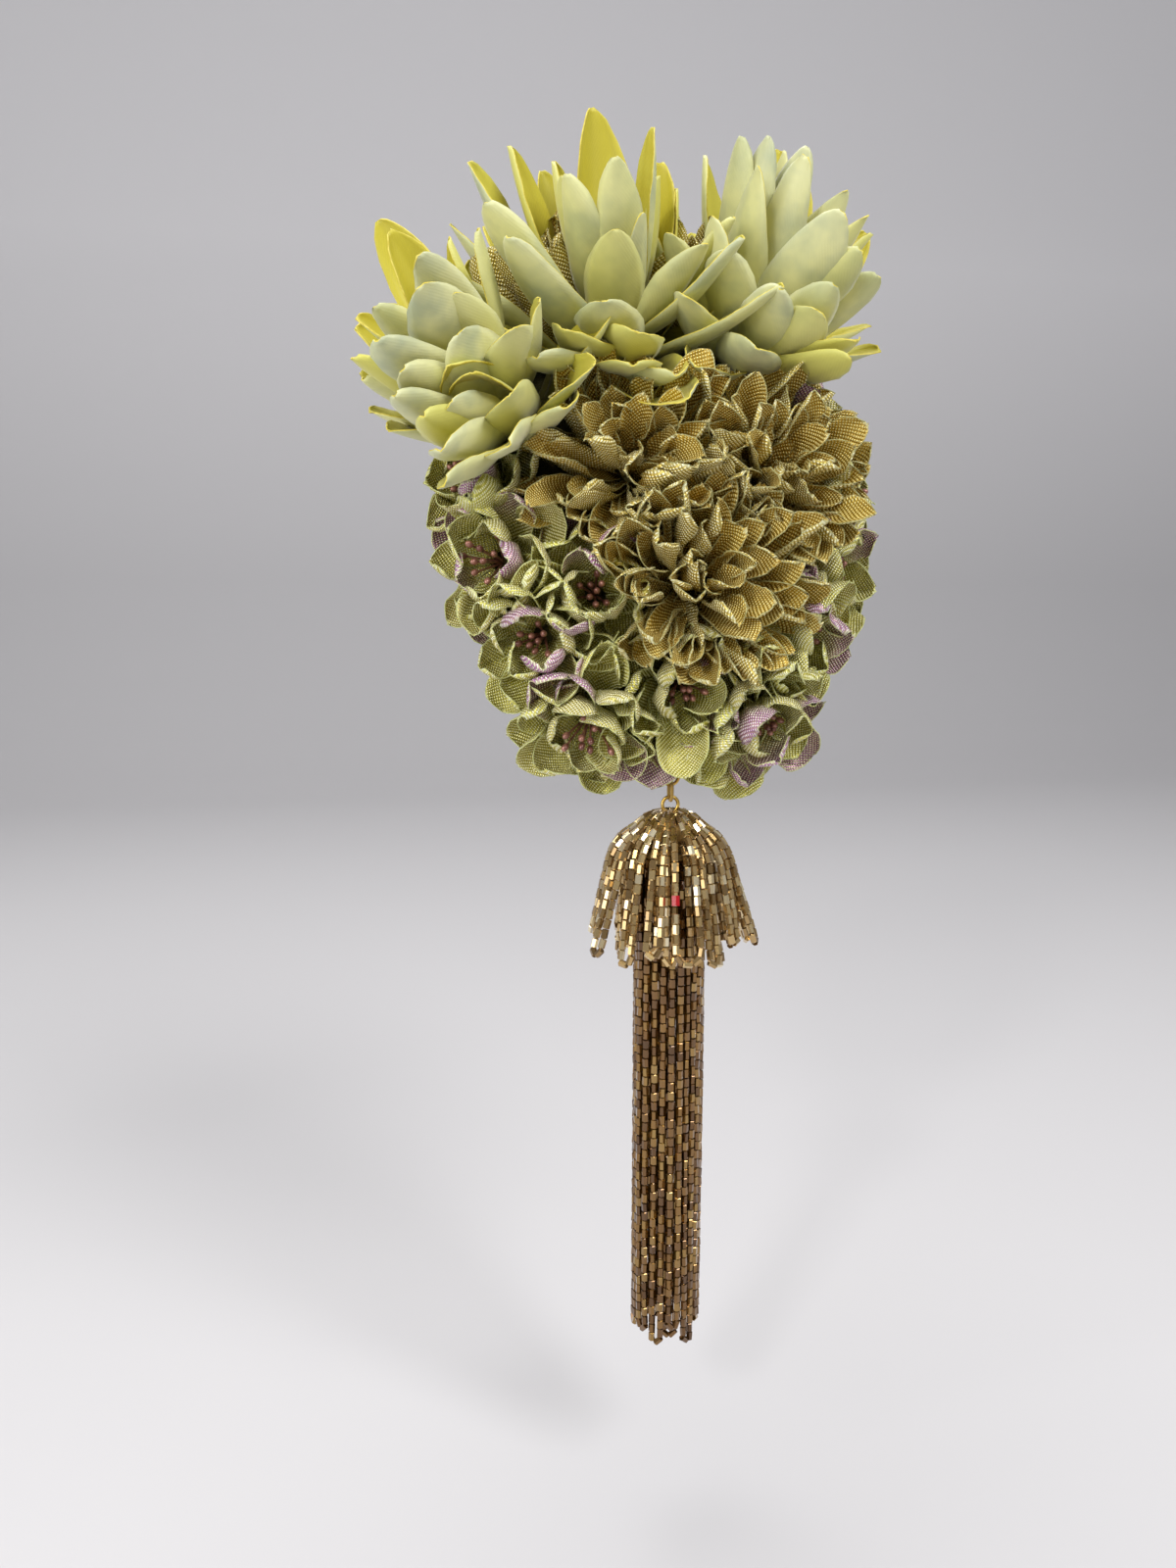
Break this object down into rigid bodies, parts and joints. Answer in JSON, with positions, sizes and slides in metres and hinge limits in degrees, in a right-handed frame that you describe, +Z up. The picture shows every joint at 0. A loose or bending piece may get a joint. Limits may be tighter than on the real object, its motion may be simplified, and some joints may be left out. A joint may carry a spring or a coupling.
{
  "type": "fascinator headpiece",
  "caption": "Fascinator headpiece of cloth flower heads on a curved oval base, with a hair comb sewn beneath and a looped glass bead tassel swinging from a wire eye at the lower tip.",
  "frame": {"origin": "middle of the underside of the oval base, where it rests on the head", "axes": "Z up with the headpiece worn on the side of the head, -Y the way the base faces, out from the head, and X to the right as seen from the front. The base faces 25 degrees above level."},
  "size_m": [0.147, 0.0894, 0.2731],
  "materials": {
    "stiffened_buckram": "stiffened open weave, matt",
    "lining_cloth": "plain satin lining",
    "cover_cloth": "matt cloth",
    "millinery_wire": "drawn wire",
    "binding_cloth": "bias-cut satin",
    "comb_plastic": "moulded, polished",
    "sewing_thread": "spun thread",
    "yellow_satin_outer": "ribbed satin, cream green with grey patches",
    "yellow_satin_middle": "ribbed satin, chartreuse",
    "yellow_satin_inner": "ribbed satin, deep yellow",
    "gold_lame": "metallic weave, bronze gold",
    "green_lame": "metallic weave, olive green with mauve tips",
    "stem_plastic_green": "moulded",
    "stem_plastic_gold": "moulded",
    "stamen_pips": "dipped pips on thread, mauve bronze",
    "brass_wire": "drawn wire, polished",
    "gold_thread": "twisted thread",
    "tassel_core": "thread bound over a moulded core",
    "gold_glass_beads": "gold lined, cut glass",
    "red_glass_bead": "gold lined, cut glass"
  },
  "bodies": {
    "headpiece": {"base_shell": "stiffened_buckram", "base_lining": "lining_cloth", "base_cover": "cover_cloth", "edge_wire": "millinery_wire", "edge_binding": "binding_cloth", "hair_comb": "comb_plastic", "comb_stitches": "sewing_thread", "yellow_top_outer": "yellow_satin_outer", "yellow_top_middle": "yellow_satin_middle", "yellow_top_inner": "yellow_satin_inner", "yellow_right_outer": "yellow_satin_outer", "yellow_right_middle": "yellow_satin_middle", "yellow_right_inner": "yellow_satin_inner", "yellow_left_outer": "yellow_satin_outer", "yellow_left_middle": "yellow_satin_middle", "yellow_left_inner": "yellow_satin_inner", "gold_right_outer": "gold_lame", "gold_right_middle": "gold_lame", "gold_right_inner": "gold_lame", "gold_left_outer": "gold_lame", "gold_left_middle": "gold_lame", "gold_left_inner": "gold_lame", "gold_front_outer": "gold_lame", "gold_front_middle": "gold_lame", "gold_front_inner": "gold_lame", "gold_back_outer": "gold_lame", "gold_back_middle": "gold_lame", "gold_back_inner": "gold_lame", "gold_crown_outer": "gold_lame", "gold_crown_middle": "gold_lame", "gold_crown_inner": "gold_lame", "floret_01": "green_lame", "floret_02": "green_lame", "floret_03": "green_lame", "floret_04": "green_lame", "floret_05": "green_lame", "floret_06": "green_lame", "floret_07": "green_lame", "floret_08": "green_lame", "floret_09": "green_lame", "floret_10": "green_lame", "floret_11": "green_lame", "yellow_stems": "stem_plastic_green", "gold_stems": "stem_plastic_gold", "floret_stamens": "stamen_pips", "tassel_eye": "brass_wire"},
    "thread_loop": {"thread_loop": "gold_thread"},
    "tassel": {"tassel_eye_pin": "brass_wire", "tassel_cap": "tassel_core", "bell_upper_loops": "gold_glass_beads", "bell_lower_loops": "gold_glass_beads", "red_bead": "red_glass_bead", "skirt_strands": "gold_glass_beads"}
  },
  "joints": [
    {"name": "loop_swing", "type": "hinge", "parent": "headpiece", "child": "thread_loop", "pos_m": [0, -0.01561, -0.06356], "axis": [1, 0, 0], "range_deg": [-45, 20]},
    {"name": "tassel_sway", "type": "hinge", "parent": "thread_loop", "child": "tassel", "pos_m": [0, -0.01561, -0.06807], "axis": [0, 1, 0], "range_deg": [-30, 30]}
  ]
}
